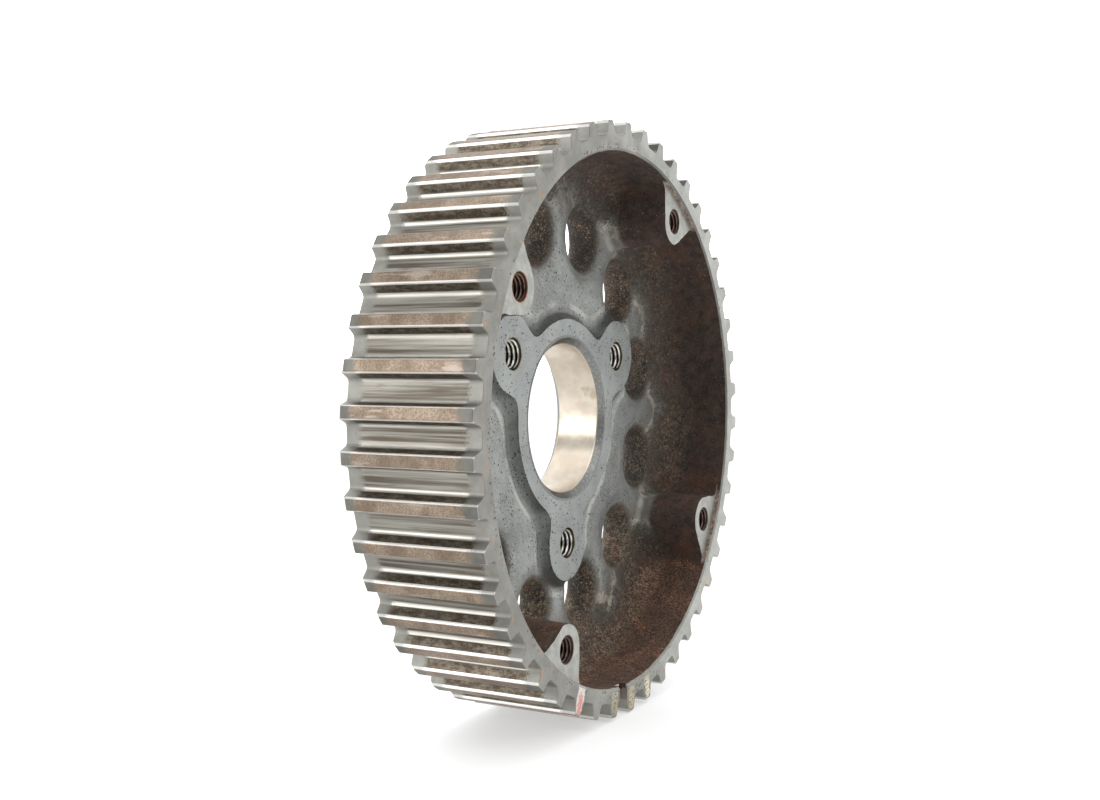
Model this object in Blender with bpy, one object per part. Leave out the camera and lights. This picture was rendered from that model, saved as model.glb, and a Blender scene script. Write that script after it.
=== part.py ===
"""Timing belt pulley, 46 teeth, 8 mm pitch: one iron casting with its machined faces.

The casting is modelled in its natural sections: the toothed rim, the web's outer ring,
twelve spokes between twelve round windows, three web panels round the hub, the
three-lobed hub and four tapped lugs that stand up from the web against the rim.
The wheel turns about Y. Its front, with the lugs, faces -Y. Z is up.
"""
import math

import bmesh
import bpy

MM = 0.001
JOINT_GAP = 0.3 * MM                     # clearance between neighbouring sections

# Belt and teeth
TEETH = 46
BELT_PITCH = 8.0 * MM
PITCH_LINE_HEIGHT = 0.686 * MM           # the belt's pitch line runs this far above the tips
TIP_RADIUS = TEETH * BELT_PITCH / (2.0 * math.pi) - PITCH_LINE_HEIGHT
GROOVE_DEPTH = 2.9 * MM
ROOT_RADIUS = TIP_RADIUS - GROOVE_DEPTH
TIP_LAND = 2.2 * MM
TOOTH_BASE = 3.75 * MM
TIP_EASE = 0.3 * MM                      # small corner taken off each side of a tooth's tip
FRONT_TOOTH_CHAMFER = 0.3 * MM
BACK_TOOTH_CHAMFER = 0.9 * MM
TOOTH_CLOCK = math.radians(90.9)         # angle of the tooth nearest the top

# Rim
RIM_WIDTH = 27.2 * MM
RIM_INNER_RADIUS = 52.1 * MM
FRONT_Y = -RIM_WIDTH / 2.0
BACK_Y = RIM_WIDTH / 2.0
NOTCH_WIDTH = 3.4 * MM
NOTCH_DEPTH = 1.8 * MM
NOTCH_TOOTH = 23.5                       # the notch lies this many teeth clockwise of the first

# Depths behind the rim's front face
LUG_RECESS = 1.2 * MM
HUB_FRONT_DEPTH = 13.8 * MM
WEB_FRONT_DEPTH = 15.2 * MM
WEB_BACK_DEPTH = 23.8 * MM
HUB_BACK_DEPTH = 25.1 * MM
HUB_FRONT_Y = FRONT_Y + HUB_FRONT_DEPTH
HUB_BACK_Y = FRONT_Y + HUB_BACK_DEPTH
WEB_FRONT_Y = FRONT_Y + WEB_FRONT_DEPTH
WEB_BACK_Y = FRONT_Y + WEB_BACK_DEPTH

# Web windows and spokes
SPOKES = 12
SPOKE_STEP = 2.0 * math.pi / SPOKES
CAST_CLOCK = math.radians(-0.5)          # turns every cast feature against the teeth
WINDOW_CIRCLE_RADIUS = 38.2 * MM
WINDOW_RADIUS = 6.4 * MM
PANEL_OUTER_RADIUS = WINDOW_CIRCLE_RADIUS - WINDOW_RADIUS - JOINT_GAP / 2.0
OUTER_RING_RADIUS = WINDOW_CIRCLE_RADIUS + WINDOW_RADIUS + JOINT_GAP / 2.0
WEB_EDGE_RADIUS = RIM_INNER_RADIUS - JOINT_GAP

# Hub
BORE_RADIUS = 15.0 * MM
BORE_CHAMFER = 1.2 * MM
HUB_RING_RADIUS = 20.0 * MM
HUB_LOBES = 3
LOBE_RADIUS = 7.7 * MM
LOBE_FILLET = 4.0 * MM
HUB_BOLT_RADIUS = 25.25 * MM
HUB_LOBE_ANGLES = [math.radians(30.0 + 120.0 * n) + CAST_CLOCK for n in range(HUB_LOBES)]
HUB_THREAD_CORE = 5.0 * MM               # core of an M6 thread
HUB_THREAD_MOUTH = 6.3 * MM

# Rim lugs
LUGS = 4
LUG_BOLT_RADIUS = 47.5 * MM
LUG_TIP_RADIUS = 4.8 * MM
LUG_SIDE_ANGLE = math.radians(30.0)      # each side leans out this far from the radius
LUG_ANGLES = [math.radians(60.0 + 90.0 * n) + CAST_CLOCK for n in range(LUGS)]
LUG_THREAD_CORE = 4.2 * MM               # core of an M5 thread
LUG_THREAD_MOUTH = 5.3 * MM
LUG_THREAD_DEPTH = 12.0 * MM

CUTTER_OVERRUN = 2.0 * MM
SHARP_EDGE = math.radians(30.0)          # steeper edges than this keep a crisp shade

# How many straight runs stand for each curve
RIM_STEPS_PER_TOOTH = 2
OUTER_RING_STEPS = 6 * SPOKES
SPOKE_SIDE_STEPS = 10
SPOKE_END_STEPS = 4
LOBE_RELIEF_STEPS = 40
LOBE_STEPS = 16
HUB_FILLET_STEPS = 5
HUB_RING_STEPS = 8
BORE_STEPS = 64
HUB_THREAD_STEPS = 24
PANEL_OUTER_STEPS = 36
PANEL_INNER_STEPS = 12
LUG_TIP_STEPS = 14
LUG_WALL_STEPS = 10
LUG_THREAD_STEPS = 20


def clear_scene():
    for item in list(bpy.data.objects):
        bpy.data.objects.remove(item)


def make_material(name, colour, roughness, metallic):
    material = bpy.data.materials.new(name)
    material.use_nodes = True
    shader = material.node_tree.nodes["Principled BSDF"]
    shader.inputs["Base Color"].default_value = (*colour, 1.0)
    shader.inputs["Roughness"].default_value = roughness
    shader.inputs["Metallic"].default_value = metallic
    return material


def polar(radius, angle):
    """A point of the wheel's plane as (x, z), the angle running from +X towards +Z."""
    return (radius * math.cos(angle), radius * math.sin(angle))


def arc(centre, radius, start, end, steps):
    """Points along an arc round centre, both ends included."""
    points = []
    for step in range(steps + 1):
        x, z = polar(radius, start + (end - start) * step / steps)
        points.append((centre[0] + x, centre[1] + z))
    return points


def triangle_angle(near, far, opposite):
    """Angle between sides near and far of a triangle, by the law of cosines."""
    return math.acos((near ** 2 + far ** 2 - opposite ** 2) / (2.0 * near * far))


def shorter_turn(angle):
    """The same turn taken the shorter way round, between -pi and pi."""
    return (angle + math.pi) % (2.0 * math.pi) - math.pi


def make_object(name, bm, material):
    mesh = bpy.data.meshes.new(name)
    bmesh.ops.recalc_face_normals(bm, faces=bm.faces)
    bm.to_mesh(mesh)
    bm.free()
    mesh.materials.append(material)
    mesh.shade_smooth()
    mesh.set_sharp_from_angle(angle=SHARP_EDGE)
    item = bpy.data.objects.new(name, mesh)
    bpy.context.scene.collection.objects.link(item)
    return item


def loft(bm, loops):
    """Joins closed loops of equal length one after the other and returns their vertices."""
    rows = [[bm.verts.new(point) for point in loop] for loop in loops]
    count = len(rows[0])
    for row, following in zip(rows, rows[1:]):
        for n in range(count):
            m = (n + 1) % count
            bm.faces.new((row[n], row[m], following[m], following[n]))
    return rows


def prism(name, outline, y_front, y_back, material):
    """A straight block with the outline (x, z) points, from y_front to y_back."""
    bm = bmesh.new()
    rows = loft(bm, [[(x, y, z) for x, z in outline] for y in (y_front, y_back)])
    bm.faces.new(rows[0])
    bm.faces.new(rows[1])
    return make_object(name, bm, material)


def as_cutter(item):
    """Marks an object as a tool: it only cuts others and is no part of the pulley."""
    item.hide_render = True
    item.display_type = "WIRE"
    return item


def turned_cutter(name, centre, profile, steps):
    """A turned tool along Y at centre (x, z); profile holds (y, radius) from end to end."""
    bm = bmesh.new()
    loops = []
    for y, radius in profile:
        ring = arc(centre, radius, 0.0, 2.0 * math.pi, steps)[:-1]
        loops.append([(x, y, z) for x, z in ring])
    rows = loft(bm, loops)
    bm.faces.new(rows[0])
    bm.faces.new(rows[-1])
    return as_cutter(make_object(name, bm, CUTTER_MATERIAL))


def cut(item, cutter):
    modifier = item.modifiers.new("cut_" + cutter.name, "BOOLEAN")
    modifier.operation = "DIFFERENCE"
    modifier.solver = "EXACT"
    modifier.object = cutter


def tooth_outline(tip_radius):
    """The rim's outer outline: base, eased tip corners and tip land of every tooth."""
    ease_radius = tip_radius - TIP_EASE
    land = (TIP_LAND / 2.0 - TIP_EASE) / tip_radius
    shoulder = (TIP_LAND / 2.0) / ease_radius
    base = (TOOTH_BASE / 2.0) / ROOT_RADIUS
    points = []
    for tooth in range(TEETH):
        centre = TOOTH_CLOCK + tooth * 2.0 * math.pi / TEETH
        points.append(polar(ROOT_RADIUS, centre - base))
        points.append(polar(ease_radius, centre - shoulder))
        points.append(polar(tip_radius, centre - land))
        points.append(polar(tip_radius, centre + land))
        points.append(polar(ease_radius, centre + shoulder))
        points.append(polar(ROOT_RADIUS, centre + base))
    return points


def toothed_rim(material):
    """The rim: chamfered tooth loops outside, a plain bore inside, and a timing notch."""
    bm = bmesh.new()
    stations = (
        (FRONT_Y, TIP_RADIUS - FRONT_TOOTH_CHAMFER),
        (FRONT_Y + FRONT_TOOTH_CHAMFER, TIP_RADIUS),
        (BACK_Y - BACK_TOOTH_CHAMFER, TIP_RADIUS),
        (BACK_Y, TIP_RADIUS - BACK_TOOTH_CHAMFER),
    )
    outer = loft(bm, [[(x, y, z) for x, z in tooth_outline(tip)] for y, tip in stations])
    per_tooth = len(outer[0]) // TEETH
    bore_steps = RIM_STEPS_PER_TOOTH * TEETH
    first = TOOTH_CLOCK - (TOOTH_BASE / 2.0) / ROOT_RADIUS
    bore = arc((0.0, 0.0), RIM_INNER_RADIUS, first, first + 2.0 * math.pi, bore_steps)[:-1]
    inner = loft(bm, [[(x, y, z) for x, z in bore] for y in (FRONT_Y, BACK_Y)])
    for outer_row, inner_row in ((outer[0], inner[0]), (outer[-1], inner[-1])):
        for tooth in range(TEETH):
            start = tooth * per_tooth
            face = [outer_row[(start + n) % len(outer_row)] for n in range(per_tooth + 1)]
            for n in reversed(range(RIM_STEPS_PER_TOOTH + 1)):
                face.append(inner_row[(RIM_STEPS_PER_TOOTH * tooth + n) % bore_steps])
            bm.faces.new(face)
    rim = make_object("toothed_rim", bm, material)
    cut(rim, timing_notch_cutter())
    return rim


def timing_notch_cutter():
    """A radial slot milled through the rim's front face in one tooth gap."""
    angle = TOOTH_CLOCK - NOTCH_TOOTH * 2.0 * math.pi / TEETH
    along = polar(1.0, angle)
    across = polar(NOTCH_WIDTH / 2.0, angle + math.pi / 2.0)
    inside = RIM_INNER_RADIUS - CUTTER_OVERRUN
    outside = TIP_RADIUS + CUTTER_OVERRUN
    corners = []
    for reach, side in ((inside, -1), (outside, -1), (outside, 1), (inside, 1)):
        corners.append((along[0] * reach + across[0] * side, along[1] * reach + across[1] * side))
    return as_cutter(prism("notch_cutter", corners, FRONT_Y - CUTTER_OVERRUN,
                           FRONT_Y + NOTCH_DEPTH, CUTTER_MATERIAL))


def web_outer_ring(material):
    """The plain ring of web between the windows and the rim."""
    bm = bmesh.new()
    steps = OUTER_RING_STEPS
    loops = []
    for radius, y in ((WEB_EDGE_RADIUS, WEB_FRONT_Y), (WEB_EDGE_RADIUS, WEB_BACK_Y),
                      (OUTER_RING_RADIUS, WEB_BACK_Y), (OUTER_RING_RADIUS, WEB_FRONT_Y)):
        ring = arc((0.0, 0.0), radius, 0.0, 2.0 * math.pi, steps)[:-1]
        loops.append([(x, y, z) for x, z in ring])
    rows = loft(bm, loops)
    for n in range(steps):
        m = (n + 1) % steps
        bm.faces.new((rows[3][n], rows[3][m], rows[0][m], rows[0][n]))
    return make_object("web_outer_ring", bm, material)


def window_edge(window_angle, toward, inner_radius, outer_radius, steps):
    """The side of one round window, on the side `toward` (+1 or -1), going outwards."""
    centre = polar(WINDOW_CIRCLE_RADIUS, window_angle)
    low = triangle_angle(WINDOW_CIRCLE_RADIUS, WINDOW_RADIUS, inner_radius)
    high = triangle_angle(WINDOW_CIRCLE_RADIUS, WINDOW_RADIUS, outer_radius)
    inward = window_angle + math.pi
    return arc(centre, WINDOW_RADIUS, inward - toward * low, inward - toward * high, steps)


def spoke_end(spoke_angle, corner, radius):
    """The arc that closes a spoke, from one corner towards the mirrored one."""
    start = math.atan2(corner[1], corner[0])
    sweep = shorter_turn(2.0 * (spoke_angle - start))
    return arc((0.0, 0.0), radius, start, start + sweep, SPOKE_END_STEPS)[1:-1]


def spoke_outline(spoke_angle):
    """A spoke: hollowed on both sides by its windows, square to the radius at its ends."""
    inner = PANEL_OUTER_RADIUS + JOINT_GAP
    outer = OUTER_RING_RADIUS - JOINT_GAP
    right = window_edge(spoke_angle - SPOKE_STEP / 2.0, 1, inner, outer, SPOKE_SIDE_STEPS)
    left = window_edge(spoke_angle + SPOKE_STEP / 2.0, -1, inner, outer, SPOKE_SIDE_STEPS)
    outer_end = spoke_end(spoke_angle, right[-1], outer)
    inner_end = spoke_end(spoke_angle, left[0], inner)
    return right + outer_end + left[::-1] + inner_end


def web_spokes(material):
    """Twelve spokes; a spoke behind a hub lobe is cut back round the lobe."""
    for number in range(SPOKES):
        angle = number * SPOKE_STEP + CAST_CLOCK
        name = "web_spoke_%02d" % (number + 1)
        spoke = prism(name, spoke_outline(angle), WEB_FRONT_Y, WEB_BACK_Y, material)
        for lobe_angle in HUB_LOBE_ANGLES:
            if abs(lobe_angle - angle) < SPOKE_STEP / 2.0:
                profile = [(WEB_FRONT_Y - CUTTER_OVERRUN, LOBE_RADIUS + JOINT_GAP),
                           (WEB_BACK_Y + CUTTER_OVERRUN, LOBE_RADIUS + JOINT_GAP)]
                centre = polar(HUB_BOLT_RADIUS, lobe_angle)
                relief = "lobe_relief_%02d" % (number + 1)
                cut(spoke, turned_cutter(relief, centre, profile, LOBE_RELIEF_STEPS))


def lobed_outline(offset):
    """The hub's three-lobed outline, grown by offset, from one lobe to the next."""
    ring = HUB_RING_RADIUS + offset
    lobe = LOBE_RADIUS + offset
    fillet = LOBE_FILLET - offset
    ring_to_fillet = triangle_angle(ring + fillet, HUB_BOLT_RADIUS, lobe + fillet)
    lobe_turn = math.pi - triangle_angle(HUB_BOLT_RADIUS, lobe + fillet, ring + fillet)
    points = []
    for lobe_angle in HUB_LOBE_ANGLES:
        centre = polar(HUB_BOLT_RADIUS, lobe_angle)
        points += arc(centre, lobe, lobe_angle - lobe_turn, lobe_angle + lobe_turn, LOBE_STEPS)
        fillet_angle = lobe_angle + ring_to_fillet
        centre = polar(ring + fillet, fillet_angle)
        points += arc(centre, fillet, lobe_angle + lobe_turn - math.pi,
                      fillet_angle - math.pi, HUB_FILLET_STEPS)[1:]
        next_fillet = lobe_angle + 2.0 * math.pi / HUB_LOBES - ring_to_fillet
        points += arc((0.0, 0.0), ring, fillet_angle, next_fillet, HUB_RING_STEPS)[1:]
        centre = polar(ring + fillet, next_fillet)
        next_lobe = lobe_angle + 2.0 * math.pi / HUB_LOBES - lobe_turn
        points += arc(centre, fillet, next_fillet + math.pi, next_lobe + math.pi,
                      HUB_FILLET_STEPS)[1:-1]
    return points


def hub(material):
    """The hub: a three-lobed boss proud of the web on both faces, bored and tapped."""
    item = prism("hub", lobed_outline(0.0), HUB_FRONT_Y, HUB_BACK_Y, material)
    wide = BORE_RADIUS + BORE_CHAMFER
    profile = [
        (HUB_FRONT_Y - CUTTER_OVERRUN, wide), (HUB_FRONT_Y, wide),
        (HUB_FRONT_Y + BORE_CHAMFER, BORE_RADIUS), (HUB_BACK_Y - BORE_CHAMFER, BORE_RADIUS),
        (HUB_BACK_Y, wide), (HUB_BACK_Y + CUTTER_OVERRUN, wide),
    ]
    cut(item, turned_cutter("bore_cutter", (0.0, 0.0), profile, BORE_STEPS))
    ease = (HUB_THREAD_MOUTH - HUB_THREAD_CORE) / 2.0
    core = HUB_THREAD_CORE / 2.0
    mouth = HUB_THREAD_MOUTH / 2.0
    profile = [
        (HUB_FRONT_Y - CUTTER_OVERRUN, mouth), (HUB_FRONT_Y, mouth),
        (HUB_FRONT_Y + ease, core), (HUB_BACK_Y - ease, core),
        (HUB_BACK_Y, mouth), (HUB_BACK_Y + CUTTER_OVERRUN, mouth),
    ]
    for number, angle in enumerate(HUB_LOBE_ANGLES):
        centre = polar(HUB_BOLT_RADIUS, angle)
        name = "hub_thread_cutter_%d" % (number + 1)
        cut(item, turned_cutter(name, centre, profile, HUB_THREAD_STEPS))


def web_panels(material):
    """Three panels of web between the hub's lobes, out to the windows."""
    boss = as_cutter(prism("hub_relief", lobed_outline(JOINT_GAP), WEB_FRONT_Y - CUTTER_OVERRUN,
                           WEB_BACK_Y + CUTTER_OVERRUN, CUTTER_MATERIAL))
    for number, start in enumerate(HUB_LOBE_ANGLES):
        end = start + 2.0 * math.pi / HUB_LOBES
        outline = arc((0.0, 0.0), PANEL_OUTER_RADIUS, start, end, PANEL_OUTER_STEPS)
        outline += arc((0.0, 0.0), HUB_RING_RADIUS - CUTTER_OVERRUN, end, start,
                       PANEL_INNER_STEPS)
        panel = prism("web_panel_%d" % (number + 1), outline, WEB_FRONT_Y, WEB_BACK_Y, material)
        cut(panel, boss)


def lug_outline(angle):
    """A lug seen from the front: round towards the hub, its sides leaning out to the rim."""
    centre = polar(LUG_BOLT_RADIUS, angle)
    turn = math.pi / 2.0 - LUG_SIDE_ANGLE
    inward = angle + math.pi
    outline = arc(centre, LUG_TIP_RADIUS, inward - turn, inward + turn, LUG_TIP_STEPS)
    side_reach = (WEB_EDGE_RADIUS - LUG_BOLT_RADIUS) + LUG_TIP_RADIUS * math.cos(turn)
    half_width = (LUG_TIP_RADIUS * math.sin(turn) + side_reach * math.tan(LUG_SIDE_ANGLE))
    spread = half_width / WEB_EDGE_RADIUS
    wall = arc((0.0, 0.0), WEB_EDGE_RADIUS, angle - spread, angle + spread, LUG_WALL_STEPS)
    return outline + wall


def rim_lugs(material):
    """Four columns on the web against the rim, each with a blind tapped hole in its face."""
    face_y = FRONT_Y + LUG_RECESS
    ease = (LUG_THREAD_MOUTH - LUG_THREAD_CORE) / 2.0
    core = LUG_THREAD_CORE / 2.0
    mouth = LUG_THREAD_MOUTH / 2.0
    profile = [
        (face_y - CUTTER_OVERRUN, mouth), (face_y, mouth), (face_y + ease, core),
        (face_y + LUG_THREAD_DEPTH, core),
    ]
    for number, angle in enumerate(LUG_ANGLES):
        lug = prism("rim_lug_%d" % (number + 1), lug_outline(angle), face_y,
                    WEB_FRONT_Y - JOINT_GAP, material)
        centre = polar(LUG_BOLT_RADIUS, angle)
        name = "lug_thread_cutter_%d" % (number + 1)
        cut(lug, turned_cutter(name, centre, profile, LUG_THREAD_STEPS))


clear_scene()
CUTTER_MATERIAL = make_material("cutter", (0.8, 0.2, 0.2), 0.5, 0.0)
MACHINED_IRON = make_material("machined_iron", (0.42, 0.42, 0.40), 0.38, 0.85)
CAST_IRON = make_material("cast_iron", (0.20, 0.19, 0.18), 0.75, 0.40)
toothed_rim(MACHINED_IRON)
web_outer_ring(CAST_IRON)
web_spokes(CAST_IRON)
web_panels(CAST_IRON)
hub(MACHINED_IRON)
rim_lugs(CAST_IRON)
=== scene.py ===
# %% [markdown]
# # A cast-iron timing belt pulley
#
# The object is a toothed wheel that an engine's timing belt runs over. It is one iron casting,
# machined afterwards: teeth cut round the rim, a ground bore, a faced three-lobed hub, tapped
# holes, and a deep dish left as it came out of the sand. So this lesson makes three kinds of
# surface: cut metal, raw casting and ground steel. It starts by loading the CAD model, which
# fixes every size, and the pieces made here stand in for its plain solids one by one.

# %% Load the fixed frame
import math

import bmesh
import bpy
import numpy as np
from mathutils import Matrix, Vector


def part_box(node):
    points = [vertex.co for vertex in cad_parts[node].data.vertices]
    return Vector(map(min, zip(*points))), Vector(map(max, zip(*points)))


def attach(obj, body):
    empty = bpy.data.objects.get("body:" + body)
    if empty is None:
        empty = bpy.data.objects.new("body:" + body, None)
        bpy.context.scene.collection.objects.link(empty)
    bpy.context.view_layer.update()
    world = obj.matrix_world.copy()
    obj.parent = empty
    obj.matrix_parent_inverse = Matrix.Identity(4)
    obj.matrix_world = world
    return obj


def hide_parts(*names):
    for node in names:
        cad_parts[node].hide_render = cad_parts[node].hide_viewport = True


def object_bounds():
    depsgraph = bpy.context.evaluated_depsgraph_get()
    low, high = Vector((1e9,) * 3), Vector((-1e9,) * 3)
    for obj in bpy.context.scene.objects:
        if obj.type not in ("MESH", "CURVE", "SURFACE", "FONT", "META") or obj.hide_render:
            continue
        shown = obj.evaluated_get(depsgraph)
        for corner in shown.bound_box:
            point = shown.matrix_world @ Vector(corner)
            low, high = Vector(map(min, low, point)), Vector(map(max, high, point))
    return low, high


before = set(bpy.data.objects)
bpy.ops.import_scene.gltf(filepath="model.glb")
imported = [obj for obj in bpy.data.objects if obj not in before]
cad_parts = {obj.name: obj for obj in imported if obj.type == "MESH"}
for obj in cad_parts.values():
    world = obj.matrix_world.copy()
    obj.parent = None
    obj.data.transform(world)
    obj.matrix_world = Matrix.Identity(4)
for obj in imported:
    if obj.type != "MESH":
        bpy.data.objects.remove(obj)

cad_low, cad_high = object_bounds()
print("CAD box in mm:", [round(1000 * (b - a), 2) for a, b in zip(cad_low, cad_high)])

# %% [markdown]
# The wheel turns about the Y axis, and its open side faces -Y. Sizes below are millimetres, as on
# a drawing, and `MM` turns them into Blender's metres. A depth is measured back from the rim's
# front face. Angles are in degrees, counter-clockwise seen from the front, starting at +X. The
# tooth sizes follow from two numbers, the tooth count and the belt's 8 mm pitch, because the
# belt's cords run a fixed height above the tooth tips.

# %% Driving dimensions
MM = 0.001
TEETH = 46
PITCH = 8.0
CORD_HEIGHT = 0.686
TIP_RADIUS = TEETH * PITCH / (2 * math.pi) - CORD_HEIGHT
ROOT_RADIUS = TIP_RADIUS - 2.9
TIP_LAND = 2.2
GROOVE_FLOOR = 3.75
NOTCH_ANGLE = -93.0

rim_low, rim_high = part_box("toothed_rim")
RIM_WIDTH = (rim_high.y - rim_low.y) / MM
FRONT = rim_low.y / MM
RIM_INNER = 52.1
PATTERN_TURN = -0.5

HUB_FACE = 13.8
WEB_FRONT = 15.2
WEB_BACK = 23.8
HUB_BACK = 25.1
LUG_FACE = 1.2
BORE = 15.0
HUB_HOLE_CIRCLE = 25.25
LUG_HOLE_CIRCLE = 47.5
WINDOW_CIRCLE = 38.2
print("Tip radius", round(TIP_RADIUS, 2), "mm, rim width", round(RIM_WIDTH, 2), "mm")

# %% [markdown]
# The camera comes first, because everything else is judged through it. It looks from the front
# left, a little above the axle, so the teeth fill the left half and the dish opens to the right.
# A camera looks down its own -Z axis, and `to_track_quat` turns that axis towards the aim point.

# %% Camera


def put_in_scene(name, data):
    thing = bpy.data.objects.new(name, data)
    bpy.context.scene.collection.objects.link(thing)
    return thing


def add_camera(place, aim, lens):
    camera = bpy.data.cameras.new("camera")
    camera.lens = lens
    camera.sensor_width = 36.0
    camera.clip_start = 0.01
    holder = put_in_scene("camera", camera)
    holder.location = Vector(place) * MM
    sight = (Vector(aim) - Vector(place)).normalized()
    holder.rotation_euler = sight.to_track_quat("-Z", "Y").to_euler()
    bpy.context.scene.camera = holder
    return holder


camera = add_camera((-232.86, -124.02, 12.14), (-9.96, -1.09, 3.92), 42.92)
print("Camera stands", round(camera.location.length / MM), "mm from the wheel's centre")

# %% [markdown]
# ## Shader maths as plain expressions
#
# A node tree for worn metal has many small sums: a mask times a colour, one minus a mask, a
# distance from the axle. Wiring each by hand hides the idea. `Wire` wraps one socket and gives it
# Python's own operators, and each operator adds its Math node. `NodeTree` has one method for every
# other node: its type, its settings, then the values or links of its inputs. `Finish` is the node
# tree of a material. Its colours are screen colours, 0 to 255, and `coat` lays one over another.

# %% Wire, NodeTree and Finish


def linear(red, green, blue):
    """A colour as seen on a screen, 0 to 255, as the linear colour that shaders use."""
    parts = []
    for value in (red, green, blue):
        share = value / 255
        parts.append(share / 12.92 if share <= 0.04045 else ((share + 0.055) / 1.055) ** 2.4)
    return (*parts, 1.0)


class Wire:
    """One output socket. Sums on it add Math nodes."""

    def __init__(self, owner, socket):
        self.owner = owner
        self.socket = socket

    def sum(self, operation, *values):
        return self.owner.node("ShaderNodeMath", {"operation": operation}, dict(enumerate(values)))

    def __add__(self, other):
        return self.sum("ADD", self, other)

    def __radd__(self, other):
        return self.sum("ADD", other, self)

    def __sub__(self, other):
        return self.sum("SUBTRACT", self, other)

    def __rsub__(self, other):
        return self.sum("SUBTRACT", other, self)

    def __mul__(self, other):
        return self.sum("MULTIPLY", self, other)

    def __rmul__(self, other):
        return self.sum("MULTIPLY", other, self)

    def __pow__(self, other):
        return self.sum("POWER", self, other)

    def __abs__(self):
        return self.sum("ABSOLUTE", self)

    def __mod__(self, other):
        return self.sum("FLOORED_MODULO", self, other)

    def either(self, other):
        return self.sum("MAXIMUM", self, other)

    def rise(self, low, high, first=0.0, last=1.0):
        """`first` below low, `last` above high and a smooth step between; low may be the larger."""
        if low > high:
            low, high, first, last = high, low, last, first
        settings = {"interpolation_type": "SMOOTHSTEP"}
        values = {"Value": self, "From Min": low, "From Max": high, "To Min": first, "To Max": last}
        return self.owner.node("ShaderNodeMapRange", settings, values)

    def near(self, value, reach):
        """1 within half of reach of a value, fading to 0 at reach."""
        return abs(self - value).rise(reach, reach / 2)


    def coat(self, mask, colour):
        """This colour, with another laid over it where the mask is 1."""
        return self.owner.blend(mask, self, colour)


class NodeTree:
    """A tree of shader nodes and the one way to add to it."""

    def __init__(self, tree):
        self.tree = tree

    def node(self, kind, settings=None, inputs=None, output=0):
        made = self.tree.nodes.new(kind)
        for setting, value in (settings or {}).items():
            setattr(made, setting, value)
        self.fill(made, inputs or {})
        return Wire(self, made.outputs[output])

    def fill(self, made, inputs):
        """Gives each named socket of a node its value or its link."""
        for slot, value in inputs.items():
            if isinstance(value, Wire):
                self.tree.links.new(value.socket, made.inputs[slot])
            else:
                made.inputs[slot].default_value = value


class Finish(NodeTree):
    """A material under construction, with the wheel's own coordinates in millimetres."""

    def __init__(self, name, metallic, roughness):
        self.material = bpy.data.materials.new(name)
        self.material.use_nodes = True
        super().__init__(self.material.node_tree)
        self.tree.nodes.clear()
        output = self.tree.nodes.new("ShaderNodeOutputMaterial")
        self.shader = self.tree.nodes.new("ShaderNodeBsdfPrincipled")
        self.tree.links.new(self.shader.outputs["BSDF"], output.inputs["Surface"])
        self.set("Metallic", metallic)
        self.set("Roughness", roughness)
        metres = self.node("ShaderNodeTexCoord", output="Object")
        scaled = {0: metres, "Scale": 1 / MM}
        self.place = self.node("ShaderNodeVectorMath", {"operation": "SCALE"}, scaled)
        self.x, self.y, self.z = (self.part(self.place, axis) for axis in "XYZ")
        self.depth = self.y - FRONT
        self.radius = (self.x * self.x + self.z * self.z) ** 0.5

    def part(self, vector, axis):
        return self.node("ShaderNodeSeparateXYZ", inputs={0: vector}, output=axis)

    def facing(self, axis):
        """How far the surface faces along an axis, from -1 to 1."""
        return self.part(self.node("ShaderNodeNewGeometry", output="Normal"), axis)

    def angle_from(self, first, step):
        """The angle, in radians, from the nearest of several evenly spaced directions."""
        angle = self.node("ShaderNodeMath", {"operation": "ARCTAN2"}, {0: self.z, 1: self.x})
        start = math.radians(first + PATTERN_TURN - step / 2)
        return ((angle - start) % math.radians(step)) - math.radians(step / 2)

    def noise(self, size, detail=2.0, rough=0.5, stretch=(1, 1, 1), warp=0.0):
        """Cloudy noise from 0 to 1 whose lumps are about `size` mm across."""
        place = self.node("ShaderNodeVectorMath", {"operation": "MULTIPLY"}, {0: self.place, 1: stretch})
        values = {"Vector": place, "Scale": 1 / size, "Detail": detail, "Roughness": rough}
        values["Distortion"] = warp
        return self.node("ShaderNodeTexNoise", {"noise_dimensions": "3D"}, values)

    def pits(self, size):
        """Distance from scattered points, in cells `size` mm across: small inside a pit."""
        return self.node("ShaderNodeTexVoronoi", {}, {"Vector": self.place, "Scale": 1 / size})

    def blend(self, mask, below, above):
        """Mixes two colours; each is a wire, or red, green and blue as seen on a screen."""
        below, above = (c if isinstance(c, Wire) else linear(*c) for c in (below, above))
        settings = {"data_type": "RGBA", "clamp_factor": True}
        return self.node("ShaderNodeMix", settings, {0: mask, 6: below, 7: above}, output=2)

    def bump(self, height, depth_mm):
        """Feeds the shader's normal: a height of 1 stands `depth_mm` out of the surface."""
        values = {"Height": height, "Distance": depth_mm * MM, "Strength": 1.0}
        self.set("Normal", self.node("ShaderNodeBump", {}, values))

    def set(self, socket, value):
        self.fill(self.shader, {socket: value})


print("Shader helpers ready")

# %% [markdown]
# ## From numbers to a mesh
#
# Every piece below is worked out as points and faces, so one helper makes the object. It shades
# smooth, but keeps edges sharper than a chosen angle crisp, which is what separates a machined
# corner from a cast one. `finish_piece` ties the result to the frame: it hangs the piece on the
# body it rides on and hides the CAD solids it stands for.

# %% Mesh helpers
SHARP_CORNER = 35.0


def smooth_but_crisp(mesh, sharp):
    mesh.shade_smooth()
    mesh.set_sharp_from_angle(angle=math.radians(sharp))


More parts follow.
